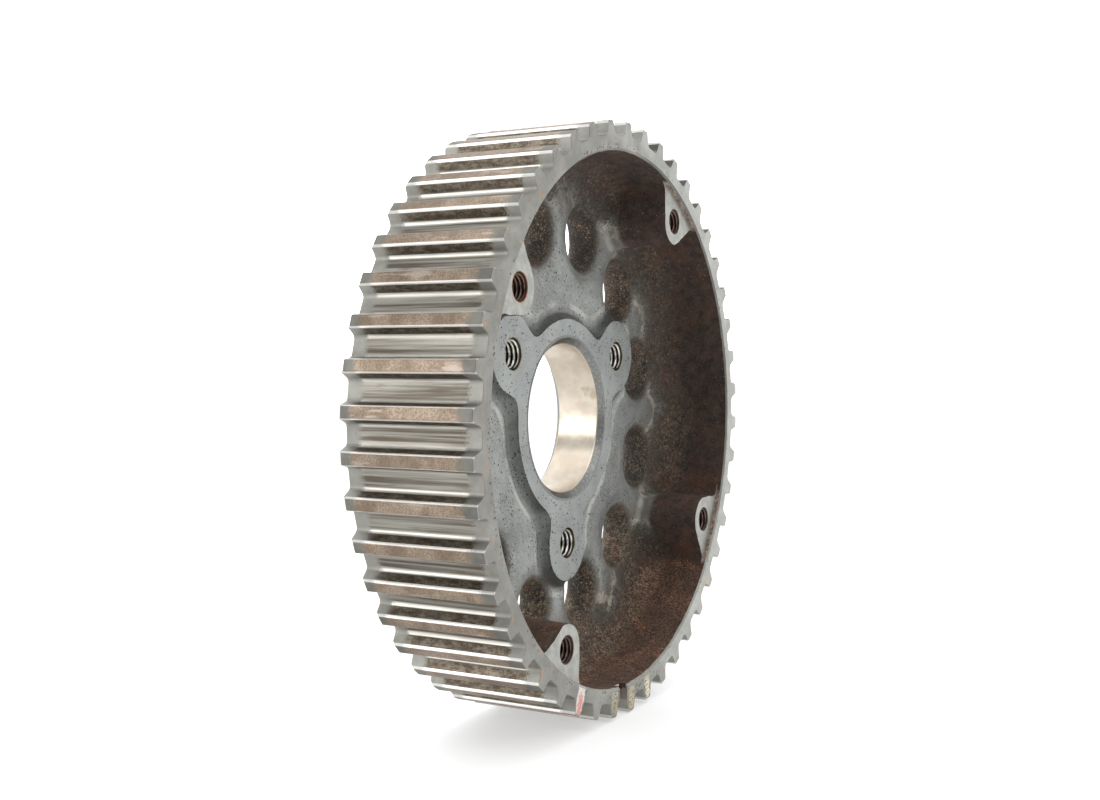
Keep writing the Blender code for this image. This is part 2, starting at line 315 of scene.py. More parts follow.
def mesh_piece(name, points, faces, finish, sharp=SHARP_CORNER):
    mesh = bpy.data.meshes.new(name)
    mesh.from_pydata(np.asarray(points) * MM, [], faces)
    mesh.validate()
    work = bmesh.new()
    work.from_mesh(mesh)
    bmesh.ops.recalc_face_normals(work, faces=work.faces)
    work.to_mesh(mesh)
    work.free()
    smooth_but_crisp(mesh, sharp)
    mesh.materials.append(finish)
    return put_in_scene(name, mesh)


def finish_piece(piece, slot, *nodes):
    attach(piece, "root")
    if nodes:
        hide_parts(*nodes)
    return piece


def turned_loops(loops):
    """Faces between closed loops of equal length, the last loop joined back to the first."""
    count = len(loops[0])
    faces = []
    for row in range(len(loops)):
        after = (row + 1) % len(loops)
        for i in range(count):
            j = (i + 1) % count
            faces.append((row * count + i, row * count + j, after * count + j, after * count + i))
    return np.concatenate(loops), faces


print("Mesh helpers ready")

# %% [markdown]
# ## The toothed rim
#
# A hobbing cutter leaves each groove with a flat floor, straight flanks, and small rounds at the
# tip and root. One tooth outline could be drawn as a curve and arrayed 46 times, but here it is
# cheaper to work out half a tooth, mirror it, and turn it round the wheel. The outline then
# becomes one loop of the rim, and a few loops across the width make the body. The loops also
# carry what the lathe did: a fine edge break in front, and a wide bevel over the tips at the back.

# %% One tooth, then the whole outline
TIP_ROUND = 0.5
ROOT_ROUND = 0.9
ARC_STEPS = 4
PAINT_ROOM = 0.04


def round_corner(before, corner, after, radius):
    """Points of the arc that rounds a corner of a plane outline."""
    before, corner, after = (np.array(point, float) for point in (before, corner, after))
    back = (before - corner) / np.linalg.norm(before - corner)
    on = (after - corner) / np.linalg.norm(after - corner)
    half = math.acos(np.clip(back @ on, -1, 1)) / 2
    middle = (back + on) / np.linalg.norm(back + on)
    centre = corner + middle * radius / math.sin(half)
    first = corner + back * radius / math.tan(half) - centre
    last = corner + on * radius / math.tan(half) - centre
    sweep = math.atan2(first[0] * last[1] - first[1] * last[0], first @ last)
    points = []
    for step in range(ARC_STEPS):
        turn = sweep * step / (ARC_STEPS - 1)
        cos, sin = math.cos(turn), math.sin(turn)
        points.append(centre + (cos * first[0] - sin * first[1], sin * first[0] + cos * first[1]))
    return points


def rim_outline():
    """The outline of all teeth, as x and z pairs in mm."""
    half_pitch = math.pi / TEETH
    base = 2 * half_pitch * ROOT_RADIUS - GROOVE_FLOOR
    tip = (0, TIP_RADIUS)
    shoulder = (TIP_LAND / 2, TIP_RADIUS)
    foot = (base / 2, ROOT_RADIUS)
    floor = (ROOT_RADIUS * math.sin(half_pitch), ROOT_RADIUS * math.cos(half_pitch))
    side = round_corner(tip, shoulder, foot, TIP_ROUND)
    side = np.array(side + round_corner(shoulder, foot, floor, ROOT_ROUND))
    mirrored = side[::-1] * (-1, 1)
    tooth = np.concatenate([mirrored, [tip], side, [floor]])
    turns = np.arctan2(tooth[:, 0], tooth[:, 1])
    radii = np.minimum(np.hypot(tooth[:, 0], tooth[:, 1]), TIP_RADIUS - PAINT_ROOM)
    first_tooth = math.radians(NOTCH_ANGLE) + half_pitch
    angles = np.concatenate([first_tooth + 2 * half_pitch * number + turns for number in range(TEETH)])
    radii = np.tile(radii, TEETH)
    return np.stack([radii * np.cos(angles), radii * np.sin(angles)], axis=1)


outline = rim_outline()
print(len(outline), "points round the teeth")

# %% [markdown]
# Each loop is the outline at one depth, drawn in by a little where an edge is broken and held
# under a cone where the back bevel cuts the tips. The inner loops are circles with as many
# points, so the faces between loops stay plain quads. The rim's inside is relieved behind the
# dish wall, which is made with the casting later.

# %% Rim body
EDGE_BREAK = 0.12
BACK_BEVEL = 0.9
INNER_CHAMFER = 0.4
WALL_POCKET = 0.8
POCKET_START = 0.45
FACE_BAND = 1.5


def drawn_in(loop, amount):
    """The outline moved inwards along its own normals."""
    along = np.roll(loop, -1, axis=0) - np.roll(loop, 1, axis=0)
    along /= np.linalg.norm(along, axis=1, keepdims=True)
    outward = np.stack([along[:, 1], -along[:, 0]], axis=1)
    return loop - outward * amount


def ring_like(loop, radius):
    """The loop pushed to a circle, keeping the direction of each point."""
    return loop * (radius / np.hypot(*loop.T))[:, None]


def under_cone(loop, radius):
    return loop * np.minimum(1, radius / np.hypot(*loop.T))[:, None]


def at_depth(loop, depth):
    return np.stack([loop[:, 0], np.full(len(loop), FRONT + depth), loop[:, 1]], axis=1)


def rim_loops():
    front = PAINT_ROOM
    back = RIM_WIDTH - PAINT_ROOM
    bevelled = under_cone(outline, TIP_RADIUS - BACK_BEVEL)
    pocket = RIM_INNER + WALL_POCKET
    circles = [
        (RIM_INNER + FACE_BAND, back),
        (RIM_INNER + INNER_CHAMFER, back),
        (RIM_INNER, back - INNER_CHAMFER),
        (pocket, RIM_WIDTH - POCKET_START),
        (pocket, POCKET_START),
        (RIM_INNER, front + INNER_CHAMFER),
        (RIM_INNER + INNER_CHAMFER, front),
        (RIM_INNER + FACE_BAND, front),
    ]
    loops = [
        at_depth(drawn_in(outline, EDGE_BREAK), front),
        at_depth(outline, front + EDGE_BREAK),
        at_depth(outline, RIM_WIDTH / 2),
        at_depth(outline, back - BACK_BEVEL),
        at_depth(bevelled, back - EDGE_BREAK),
        at_depth(drawn_in(bevelled, EDGE_BREAK), back),
    ]
    loops += [at_depth(ring_like(outline, radius), depth) for radius, depth in circles]
    return loops


print(len(rim_loops()), "loops across the rim")

# %% [markdown]
# A slot milled across the front face marks the timing position between two teeth. It is a true
# boolean cut with a block, because a painted line would vanish from the side.

# %% Cut the timing notch
NOTCH_WIDTH = 3.4
NOTCH_DEPTH = 1.8
NOTCH_BLOCK_LENGTH = 8.0
NOTCH_BLOCK_RADIUS = ROOT_RADIUS - 1


def block(name, size, centre, turn):
    made = bmesh.new()
    bmesh.ops.create_cube(made, size=1.0)
    bmesh.ops.scale(made, vec=Vector(size) * MM, verts=made.verts)
    mesh = bpy.data.meshes.new(name)
    made.to_mesh(mesh)
    made.free()
    cutter = put_in_scene(name, mesh)
    cutter.location = Vector(centre) * MM
    cutter.rotation_euler = (0, -math.radians(turn), 0)
    return cutter


def cut_away(piece, cutter):
    """Cuts for good: the cutter goes, and the cut mesh takes the place of the old one."""
    cut = piece.modifiers.new("cut", "BOOLEAN")
    cut.object = cutter
    cut.operation = "DIFFERENCE"
    cut.solver = "EXACT"
    bpy.context.view_layer.update()
    evaluated = piece.evaluated_get(bpy.context.evaluated_depsgraph_get())
    mesh = bpy.data.meshes.new_from_object(evaluated)
    piece.modifiers.remove(cut)
    piece.data = mesh
    smooth_but_crisp(mesh, SHARP_CORNER)
    bpy.data.objects.remove(cutter)


def polar(radius, angle, depth):
    turn = math.radians(angle)
    return (radius * math.cos(turn), FRONT + depth, radius * math.sin(turn))


print("The notch is", NOTCH_WIDTH, "mm wide and", NOTCH_DEPTH, "mm deep")

# %% [markdown]
# The belt has polished the teeth only where it ran. So each tooth keeps its dull grey for about
# 3 mm at each end, and the border is ragged. It all follows from a point's radius, depth and
# normal, so the shader works it out and no picture has to be painted. Four noises give the
# irregular part: broad clouds, fine grain, and two that are stretched along the tooth.

# %% Noises of the cut iron, and where the belt ran


def iron_noises(finish):
    cloud = finish.noise(5.0, detail=4.0, rough=0.6)
    grain = finish.noise(0.3, detail=3.0, rough=0.6)
    streak = finish.noise(0.8, detail=3.0, rough=0.6, stretch=(1, 0.02, 1))
    smear = finish.noise(1.6, detail=3.0, rough=0.6, stretch=(1, 0.15, 1))
    return cloud, grain, streak, smear


def belt_track(finish, noises):
    """1 where the belt ran, 0 at both ends of the teeth."""
    cloud, grain, _, smear = noises
    wobble = (cloud - 0.5) * 2.0 + (smear - 0.5) * 1.5 + (grain - 0.5) * 2.5
    front_end = (finish.depth + wobble).rise(2.2, 3.4)
    back_end = (finish.depth + wobble).rise(24.9, 23.5)
    return front_end * back_end


print("Helpers for cut iron ready")

# %% [markdown]
# On a tooth, the tip has a bright, slightly brown band, its two corners carry a painted highlight,
# and the flanks and groove floors hold a dark film with streaks. The flanks are painted darker
# than the floors as painted shade, and the root fillets carry a painted highlight. Towards the upper
# right the flanks are darkened further, as painted shade and a painted dark reflection. Every colour
# is laid as a coat over the one before it, as a painter would do.

# %% Colours of a tooth


def tooth_colours(finish, noises, worn):
    cloud, grain, streak, smear = noises
    tip = finish.radius.rise(TIP_RADIUS - 0.24, TIP_RADIUS - 0.1)
    corner = finish.radius.near(TIP_RADIUS - 0.38, 0.32)
    floor = finish.radius.rise(ROOT_RADIUS + 1.0, ROOT_RADIUS + 0.35)
    fillet = finish.radius.near(ROOT_RADIUS + 0.3, 0.3)
    dull = finish.blend(cloud.rise(0.3, 0.75), (132, 131, 125), (156, 155, 148))
    dull_land = finish.blend(cloud.rise(0.3, 0.7), (98, 97, 92), (124, 122, 115))
    polished = finish.blend(cloud.rise(0.35, 0.65), (121, 107, 93), (151, 136, 120))
    polished = polished.coat(grain.rise(0.42, 0.62) * 0.55, (92, 78, 64))
    polished = polished.coat(smear.rise(0.58, 0.7) * 0.5, (176, 165, 154))
    blotch = finish.noise(0.9, detail=5.0, rough=0.75, stretch=(1, 0.4, 1))
    # The flanks hold a dark film, and are also painted darker than the floors as painted shade.
    flank_film_and_shade = finish.blend(blotch.rise(0.36, 0.68), (72, 64, 54), (124, 115, 102))
    flank_film_and_shade = flank_film_and_shade.coat(grain.rise(0.52, 0.66) * 0.5, (56, 47, 40))
    flank_film_and_shade = flank_film_and_shade.coat(grain.rise(0.4, 0.32) * 0.4, (160, 148, 133))
    floor_film = finish.blend(streak.rise(0.35, 0.65), (88, 81, 73), (148, 146, 137))
    floor_film = floor_film.coat(smear.rise(0.55, 0.7) * 0.5, (86, 74, 63))
    body = finish.blend(floor, flank_film_and_shade, floor_film)
    # Painted highlight: a near-white band along the root fillets, where light streaks the grooves.
    body = body.coat(fillet * (0.3 + 0.8 * smear) * worn, (228, 226, 218))
    body = finish.blend(1 - worn, body, dull)
    # Painted shade and painted dark reflection: flanks towards the upper right, and half as much their
    # floors, are darkened.
    painted_shade_at_right = (finish.x + (cloud - 0.5) * 6).rise(3, 11) * (1 - floor * 0.5) * finish.z.rise(-30, 10)
    body = body.coat(painted_shade_at_right * 0.9, (62, 60, 56))
    land = finish.blend(worn, dull_land, polished)
    tooth = finish.blend(tip, body, land)
    tinge = finish.radius.near(TIP_RADIUS - 0.17, 0.1) * worn * grain.rise(0.4, 0.6)
    tooth = tooth.coat(tinge * 0.4, (206, 140, 108))
    # Painted highlight: the rounded tip corners are coloured near white for the light they reflect.
    painted_edge_highlight = corner * (0.45 + 0.55 * worn) * (0.65 + 0.7 * grain)
    tooth = tooth.coat(painted_edge_highlight, (248, 247, 244))
    return tooth


print("Tooth colours ready")

# %% [markdown]
# The front and back faces of the rim are turned: pale, even metal with faint mottling and rust
# specks. They are paler towards the right and dirty by the timing notch, black pits lie along the
# inner edge, and a thin painted highlight runs along that edge.

# %% Colours of the turned faces, and the rim


def face_colours(finish, noises):
    cloud, grain, _, smear = noises
    mottled = finish.blend(cloud.rise(0.3, 0.7), (134, 133, 127), (156, 155, 149))
    # The faces grow paler towards the right.
    paler_at_right = finish.blend(cloud.rise(0.3, 0.7), (166, 167, 162), (188, 189, 184))
    mottled = finish.blend((finish.x + (cloud - 0.5) * 20).rise(-30, 34), mottled, paler_at_right)
    mottled = mottled.coat(grain.rise(0.55, 0.75) * 0.4, (128, 126, 119))
    inner = finish.radius.rise(RIM_INNER + 2.4, RIM_INNER + 0.2)
    dirty_side = (finish.z * -1).rise(50, 54) * finish.x.near(2.0, 16.0)
    marks = (inner * finish.noise(7.0).rise(0.42, 0.56)).either(dirty_side)
    pit = finish.pits(0.8).rise(0.34, 0.2) * marks
    mottled = mottled.coat(dirty_side * cloud.rise(0.3, 0.6) * 0.6, (112, 106, 94))
    mottled = mottled.coat(pit, (66, 58, 50))
    rust_spot = finish.noise(2.3, detail=3.0, rough=0.6).rise(0.6, 0.72)
    mottled = mottled.coat(rust_spot * 0.7, (196, 144, 104))
    # Painted highlight: a thin pale line along the rim's inner edge.
    painted_inner_edge_highlight = finish.radius.rise(RIM_INNER + 0.5, RIM_INNER + 0.3) * smear.rise(0.4, 0.6)
    mottled = mottled.coat(painted_inner_edge_highlight, (206, 200, 190))
    return mottled, pit


def belt_worn_iron():
    finish = Finish("belt_worn_iron", metallic=0.9, roughness=0.3)
    noises = iron_noises(finish)
    cloud, grain, streak, _ = noises
    worn = belt_track(finish, noises)
    face = abs(finish.facing("Y")).rise(0.8, 0.95)
    mottled, pit = face_colours(finish, noises)
    finish.set("Base Color", finish.blend(face, tooth_colours(finish, noises, worn), mottled))
    finish.set("Metallic", 0.9 - 0.35 * face)
    gloss = 0.3 + 0.12 * grain + 0.1 * cloud
    finish.set("Roughness", gloss + 0.14 * face + 0.12 * (1 - worn))
    finish.bump(grain * 0.7 + streak * 0.9 + pit * -3, 0.02)
    return finish.material


worn_iron = belt_worn_iron()
points, faces = turned_loops(rim_loops())
toothed_rim = mesh_piece("toothed_rim_cut", points, faces, worn_iron)
notch_size = (NOTCH_BLOCK_LENGTH, 2 * NOTCH_DEPTH, NOTCH_WIDTH)
notch_middle = polar(NOTCH_BLOCK_RADIUS, NOTCH_ANGLE, 0)
cut_away(toothed_rim, block("notch_cutter", notch_size, notch_middle, NOTCH_ANGLE))
finish_piece(toothed_rim, "machined_iron", "toothed_rim")
print("Rim has", len(toothed_rim.data.polygons), "faces")

# %% [markdown]
# ## The raw casting
#
# Sand casting has no sharp inside corner: the web runs into the rim in a wide fillet, the ribs
# between the windows are almost half-round bars, and each lug column grows out of the wall. Such
# blends are hard to model face by face. They are easy as a distance field, which is a function
# that is negative inside the iron: two shapes join with a soft minimum that leaves a fillet, and
# machining is a plain maximum that leaves a crisp edge. These are the small tools for that.

# %% Distance-field tools


def soft_union(a, b, fillet):
    share = np.clip(0.5 + 0.5 * (b - a) / fillet, 0, 1)
    return b + (a - b) * share - fillet * share * (1 - share)


def rounded_corner(a, b, round_a, round_b):
    """The intersection of two solids, with an elliptic round along the edge where they meet."""
    reach_a = np.maximum(1 + a / round_a, 0)
    reach_b = np.maximum(1 + b / round_b, 0)
    curved = round_a * (np.hypot(reach_a, reach_b) - 1)
    return np.where(np.minimum(reach_a, reach_b) > 0, curved, np.maximum(a, b) + 0 * curved)


def folded(angle, first, step):
    """An angle measured from the nearest of several evenly spaced directions."""
    return (angle - first + step / 2) % step - step / 2


def across_and_out(radius, angle, first, step, circle):
    """Where a point lies from the nearest of several holes on a circle: sideways and outwards."""
    turn = np.radians(folded(angle, first, step))
    return radius * np.sin(turn), radius * np.cos(turn) - circle


lattice = np.random.default_rng(11).random((64, 64, 64))


def lumps(x, y, z, size):
    """Smooth random lumps between -1 and 1, about `size` mm across."""
    low, share = [], []
    for axis, value in enumerate((x, y, z)):
        scaled = value / size + 100 + 17.3 * axis
        whole = np.floor(scaled)
        part = scaled - whole
        low.append(whole.astype(int) % 64)
        share.append(part * part * (3 - 2 * part))
    total = 0
    for corner in range(8):
        steps = [corner >> axis & 1 for axis in range(3)]
        weight = 1
        for axis in range(3):
            weight = weight * (share[axis] if steps[axis] else 1 - share[axis])
        place = [(low[axis] + steps[axis]) % 64 for axis in range(3)]
        total = total + weight * lattice[place[0], place[1], place[2]]
    return 2 * total - 1


print("A fillet test:", round(float(soft_union(np.array(0.0), np.array(0.0), 4.0)), 2), "mm of fill")

# %% [markdown]
# The casting itself, from the web outwards. Twelve windows pierce the web; each is a funnel whose
# narrow throat lies half-way through, because both halves of the sand mould drew out of it.
# One window, low on the left, came out smaller than the rest.
# The dish wall joins the web with a wide fillet. Lug columns taper a little towards the front so
# that the mould could be pulled off. The hub is a ring with three lobes for its bolts. Each set
# of holes has a pattern: its first angle, the step to the next hole, and the circle it lies on.

# %% The casting as one function
THROAT = 5.25
SMALL_WINDOW = 255.0
SMALL_WINDOW_LOSS = 1.3
WEB_MIDDLE = (WEB_FRONT + WEB_BACK) / 2
WEB_HALF = (WEB_BACK - WEB_FRONT) / 2
WALL_OUTER = RIM_INNER + 1.1
WALL_START = 0.38
DRAFT = math.tan(math.radians(1.5))
HUB_PATTERN = (30, 120, HUB_HOLE_CIRCLE)
LUG_PATTERN = (60, 90, LUG_HOLE_CIRCLE)
HUB_RING = 20.0
LOBE = 7.7
LUG_TIP = 4.8
LUG_FLANK = math.radians(30)
MOAT_DEPTH = 0.45
HUB_HOLE = 3.15
LUG_HOLE = 2.65
LUG_HOLE_DEPTH = 12.0
RIB_ROUND = (4.1, 5.2)
RIB_FILLET = 4.0
WALL_FILLET = 7.5
LUG_FILLET = 1.6
HUB_FILLET = 2.2
LOBE_FILLET = 5.0
FACED_FRONT = 37
FACED_BACK = 34
LUG_SPOT = 2.5
NOTCH_START = 50
BORE_RING = BORE + 1.2
BORE_LIP = BORE_RING + 0.5
CAST_BORE = BORE_LIP - 0.2


def windows(radius, angle):
    """How far a point is inside the nearest window's throat; negative outside it."""
    closing = SMALL_WINDOW_LOSS * np.exp(-((folded(angle, SMALL_WINDOW, 360) / 14) ** 2))
    turn = np.abs(folded(angle, 15, 30))
    gaps = []
    for offset in (turn, 30 - turn):
        lean = np.radians(offset)
        gaps.append(np.hypot(radius * np.cos(lean) - WINDOW_CIRCLE, radius * np.sin(lean)) - THROAT)
    return -soft_union(gaps[0], gaps[1], RIB_FILLET) - closing


def lug_outline(radius, angle):
    """A disc round the lug's hole, run out to the wall on two straight sides."""
    side, out = across_and_out(radius, angle, *LUG_PATTERN)
    side = np.abs(side)
    cos, sin = math.cos(LUG_FLANK), math.sin(LUG_FLANK)
    flank = side * cos - out * sin - LUG_TIP
    return np.where(side * sin + out * cos > 0, flank, np.hypot(out, side) - LUG_TIP)


def hub_outline(radius, angle):
    lobe = np.hypot(*across_and_out(radius, angle, *HUB_PATTERN)) - LOBE
    return soft_union(radius - HUB_RING, lobe, LOBE_FILLET)


def round_the_axle(x, y, z):
    """A point's radius, its angle in the cast pattern, and its depth."""
    return np.hypot(x, z), np.degrees(np.arctan2(z, x)) - PATTERN_TURN, y - FRONT


def raw_casting(x, y, z):
    radius, angle, depth = round_the_axle(x, y, z)
    beside_hub = hub_outline(radius, angle)
    moat = MOAT_DEPTH * np.exp(-(((beside_hub - 1.3) / 1.0) ** 2))
    slab = np.abs(depth - WEB_MIDDLE) - WEB_HALF + moat
    iron = rounded_corner(slab, windows(radius, angle), *RIB_ROUND)
    iron = soft_union(iron, RIM_INNER - radius, WALL_FILLET)
    lug = np.maximum(lug_outline(radius, angle) - (depth - LUG_FACE) * DRAFT, depth - WEB_MIDDLE)
    iron = soft_union(iron, lug, LUG_FILLET)
    flare = np.abs(depth - WEB_MIDDLE) - (WEB_MIDDLE - HUB_FACE)
    iron = soft_union(iron, beside_hub + 0.15 + flare * 0.25, HUB_FILLET)
    skin = 0.12 * lumps(x, y, z, 5.0) + 0.15 * lumps(x, y, z, 1.7)
    rough = 0.2 + 0.8 * np.clip((radius - 38) / 8, 0, 1)
    return iron + skin * rough


def notch_slot(x, z, radius, depth):
    """The timing notch again, so that the dish wall behind the rim is cut with it."""
    turn = math.radians(NOTCH_ANGLE)
    across = np.abs(z * math.cos(turn) - x * math.sin(turn)) - NOTCH_WIDTH / 2
    slot = np.maximum(np.maximum(across, depth - NOTCH_DEPTH), NOTCH_START - radius)
    return np.where(z > 0, 9.0, slot)


def machined_casting(x, y, z):
    """The raw casting after the lathe, the drill and the mill."""
    radius, angle, depth = round_the_axle(x, y, z)
    lug_top = np.maximum(lug_outline(radius, angle) - LUG_SPOT, radius - RIM_INNER)
    lug_hole = np.hypot(*across_and_out(radius, angle, *LUG_PATTERN)) - LUG_HOLE
    cuts = (
        np.maximum(radius - FACED_FRONT, depth - HUB_FACE),
        np.maximum(radius - FACED_BACK, HUB_BACK - depth),
        np.maximum(lug_top, depth - LUG_FACE),
        radius - CAST_BORE,
        np.hypot(*across_and_out(radius, angle, *HUB_PATTERN)) - HUB_HOLE,
        np.maximum(lug_hole, depth - LUG_FACE - LUG_HOLE_DEPTH),
        notch_slot(x, z, radius, depth),
    )
    iron = raw_casting(x, y, z)
    for cut in cuts:
        iron = np.maximum(iron, -cut)
    iron = np.maximum(iron, radius - WALL_OUTER)
    return np.maximum(iron, np.maximum(WALL_START - depth, depth - RIM_WIDTH + WALL_START))


middle_of_rib = machined_casting(*(np.array([value]) for value in polar(WINDOW_CIRCLE, 29.5, 19.5)))
print("Half a rib's thickness is about", round(-float(middle_of_rib[0]), 1), "mm")

# %% [markdown]
# A mesh is drawn over the field by dual contouring. The space is filled with small cells. Where
# a cell's edge passes from iron to air, the exact crossing and the surface's slope there are
# found, and each cell gets one point placed to fit all its slopes at once. Unlike the better
# known marching cubes, this puts points right on machined corners, so they stay crisp.

# %% Dual contouring
CELL = 0.6
CROSSING_STEPS = 4
PULL_TO_MIDDLE = 0.06
CELL_SLACK = 0.1


def slopes(field, points, reach=0.02):
    parts = []
    for axis in range(3):
        step = np.zeros(3)
        step[axis] = reach
        parts.append(field(*(points + step).T) - field(*(points - step).T))
    slope = np.stack(parts, axis=1)
    return slope / np.maximum(np.linalg.norm(slope, axis=1, keepdims=True), 1e-9)


def crossing(field, inside, outside, value_in, value_out):
    """Walks from a linear guess to where the field is zero between two points."""
    near, far = np.zeros(len(inside)), np.ones(len(inside))
    for turn in range(CROSSING_STEPS):
        guess = near + (far - near) * value_in / (value_in - value_out)
        guess = guess if turn % 2 == 0 else (guess + (near + far) / 2) / 2
        value = field(*(inside + (outside - inside) * guess[:, None]).T)
        same = (value < 0) == (value_in < 0)
        near, far = np.where(same, guess, near), np.where(same, far, guess)
        value_in = np.where(same, value, value_in)
        value_out = np.where(same, value_out, value)
    guess = near + (far - near) * value_in / (value_in - value_out)
    return inside + (outside - inside) * guess[:, None]


def contour(field, low, high, cell):
    axes = [np.arange(a, b + cell, cell) for a, b in zip(low, high)]
    values = field(*np.meshgrid(*axes, indexing="ij"))
    shape = np.array(values.shape)
    start = np.array([axis[0] for axis in axes])
    hits = []
    for axis in range(3):
        first = np.take(values, range(shape[axis] - 1), axis)
        second = np.take(values, range(1, shape[axis]), axis)
        corners = np.argwhere((first < 0) != (second < 0))
        value_a = first[tuple(corners.T)]
        value_b = second[tuple(corners.T)]
        one = np.eye(3, dtype=int)[axis]
        place_a = start + corners * cell
        place_b = start + (corners + one) * cell
        hit = crossing(field, place_a, place_b, value_a, value_b)
        hits.append((axis, corners, value_a < 0, hit, slopes(field, hit)))
    return fit_cells(hits, shape, start, cell)


def fit_cells(hits, shape, start, cell):
    """One point for each cell that the surface passes, and a quad for each crossed edge."""
    keys, points, normals, quads = [], [], [], []
    for axis, corners, from_inside, hit, slope in hits:
        one, other = np.eye(3, dtype=int)[(axis + 1) % 3], np.eye(3, dtype=int)[(axis + 2) % 3]
        around = [corners - one - other, corners - other, corners, corners - one]
        keyed = [np.ravel_multi_index(tuple(np.clip(cells, 0, shape - 1).T), shape) for cells in around]
        keys += keyed
        points += [hit] * len(keyed)
        normals += [slope] * len(keyed)
        quad = np.stack(keyed, axis=1)
        quads.append(np.where(from_inside[:, None], quad, quad[:, ::-1]))
    keys, points, normals = np.concatenate(keys), np.concatenate(points), np.concatenate(normals)
    cells, owner = np.unique(keys, return_inverse=True)
    count = np.bincount(owner)
    centre = np.stack([np.bincount(owner, points[:, i]) / count for i in range(3)], axis=1)
    height = np.einsum("ij,ij->i", normals, points - centre[owner])
    matrix = np.empty((len(cells), 3, 3))
    target = np.empty((len(cells), 3))
    for i in range(3):
        target[:, i] = np.bincount(owner, normals[:, i] * height)
        for j in range(3):
            matrix[:, i, j] = np.bincount(owner, normals[:, i] * normals[:, j])
    matrix += PULL_TO_MIDDLE * np.eye(3)
    placed = centre + np.linalg.solve(matrix, target[:, :, None])[:, :, 0]
    corner = start + np.stack(np.unravel_index(cells, shape), axis=1) * cell
    placed = np.clip(placed, corner - CELL_SLACK * cell, corner + (1 + CELL_SLACK) * cell)
    return placed, np.searchsorted(cells, np.concatenate(quads))


reach = WALL_OUTER + 2 * CELL
cast_points, cast_quads = contour(
    machined_casting,
    (-reach, FRONT - CELL, -reach),
    (reach, FRONT + RIM_WIDTH + CELL, reach),
    CELL,
)
print("The casting has", len(cast_quads), "faces")

# %% [markdown]
# Dirt and rust gather where a brush can't reach, and shade falls there too; the shader darkens such
# places, as dirt and as painted shade. The field already knows how open a place is: stepping off
# the surface by a few millimetres should raise the distance by as much, and in a corner it rises
# less. That shortfall is stored on each point as an attribute called `crevice`, which the shader
# reads. Two more attributes hold the distances from the nearest window and from the hub. The
# casting is then shared out between the CAD sections it stands for. Its shading normals are read
# before the split, so the seams between sections don't show.

# %% Casting mesh with crevices
CAST_CORNER = 38
CLOSE_STEP = 1.6
WIDE_STEP = 4.5


def crevices(field, points, normals, step):
    gained = field(*(points + normals * step).T)
    return np.clip(1 - gained / step, 0, 1)


def whole_casting():
    mesh = bpy.data.meshes.new("whole_casting")
    mesh.from_pydata(cast_points * MM, [], cast_quads.tolist())
    smooth_but_crisp(mesh, CAST_CORNER)
    normals = np.empty(len(mesh.loops) * 3, np.float32)
    mesh.corner_normals.foreach_get("vector", normals)
    return mesh, normals.reshape(-1, 4, 3)


whole, corner_normals = whole_casting()
point_slopes = slopes(machined_casting, cast_points)
crevice = np.maximum(
    crevices(raw_casting, cast_points, point_slopes, CLOSE_STEP),
    crevices(raw_casting, cast_points, point_slopes, WIDE_STEP) * 0.8,
)
cast_radius, cast_angle, _ = round_the_axle(*cast_points.T)
stored = {
    "crevice": crevice,
    "funnel": np.clip(-windows(cast_radius, cast_angle), 0, 20),
    "hub_gap": np.clip(hub_outline(cast_radius, cast_angle), -5, 20),
}
print("Crevice values run from", round(float(crevice.min()), 2), "to", round(float(crevice.max()), 2))

# %% [markdown]
# A face belongs to the section whose area its middle lies in: lug columns first, then the hub,
# the dish wall, the twelve ribs, and the three panels left between the hub's lobes.

# %% Share the faces between sections
INNER_WEB = 45.6
PANEL_EDGE = 31.6
HUB_SHARE = 1.6
LUG_SHARE = 0.6
LUG_BASE = 14.6


def section_of(middle):
    radius, angle, depth = round_the_axle(*middle.T)
    section = np.full(len(middle), "web_outer_ring", dtype="U20")
    ribs = np.round(angle / 30).astype(int) % 12
    for rib in range(12):
        section[(radius < INNER_WEB) & (ribs == rib)] = f"web_spoke_{rib + 1:02d}"
    panels = np.floor(((angle - 30) % 360) / 120).astype(int)
    for panel in range(3):
        section[(radius < PANEL_EDGE) & (panels == panel)] = f"web_panel_{panel + 1}"
    section[hub_outline(radius, angle) < HUB_SHARE] = "hub"
    columns = (lug_outline(radius, angle) < LUG_SHARE) & (depth < LUG_BASE)
    columns &= radius < RIM_INNER + 0.1
    lugs = np.floor((angle % 360) / 90).astype(int)
    for lug in range(4):
        section[columns & (lugs == lug)] = f"rim_lug_{lug + 1}"
    return section


def section_piece(name, chosen):
    quads = cast_quads[chosen]
    used, renumbered = np.unique(quads, return_inverse=True)
    mesh = bpy.data.meshes.new(name)
    mesh.from_pydata(cast_points[used] * MM, [], renumbered.reshape(-1, 4).tolist())
    mesh.shade_smooth()
    mesh.normals_split_custom_set(corner_normals[chosen].reshape(-1, 3))
    for word, values in stored.items():
        attribute = mesh.attributes.new(word, "FLOAT", "POINT")
        attribute.data.foreach_set("value", values[used].astype(np.float32))
    return put_in_scene(name, mesh)


sections = section_of(cast_points[cast_quads].mean(axis=1))
castings = {name: section_piece(name + "_casting", sections == name) for name in np.unique(sections)}
print(len(castings), "casting sections:", ", ".join(sorted(castings)))

# %% [markdown]
# ## What the casting is covered in
#
# The hub and lug faces were milled, so they are flat and pale, and a plane at a known depth is
# enough to find them. Near the hub the web was blasted clean. Further out, in the windows and all
# over the dish wall the sand-cast skin was never cleaned, and its border against the grey is
# ragged, because noise of four sizes is added to the distance that decides it.

# %% Where the casting is milled, and where it is raw


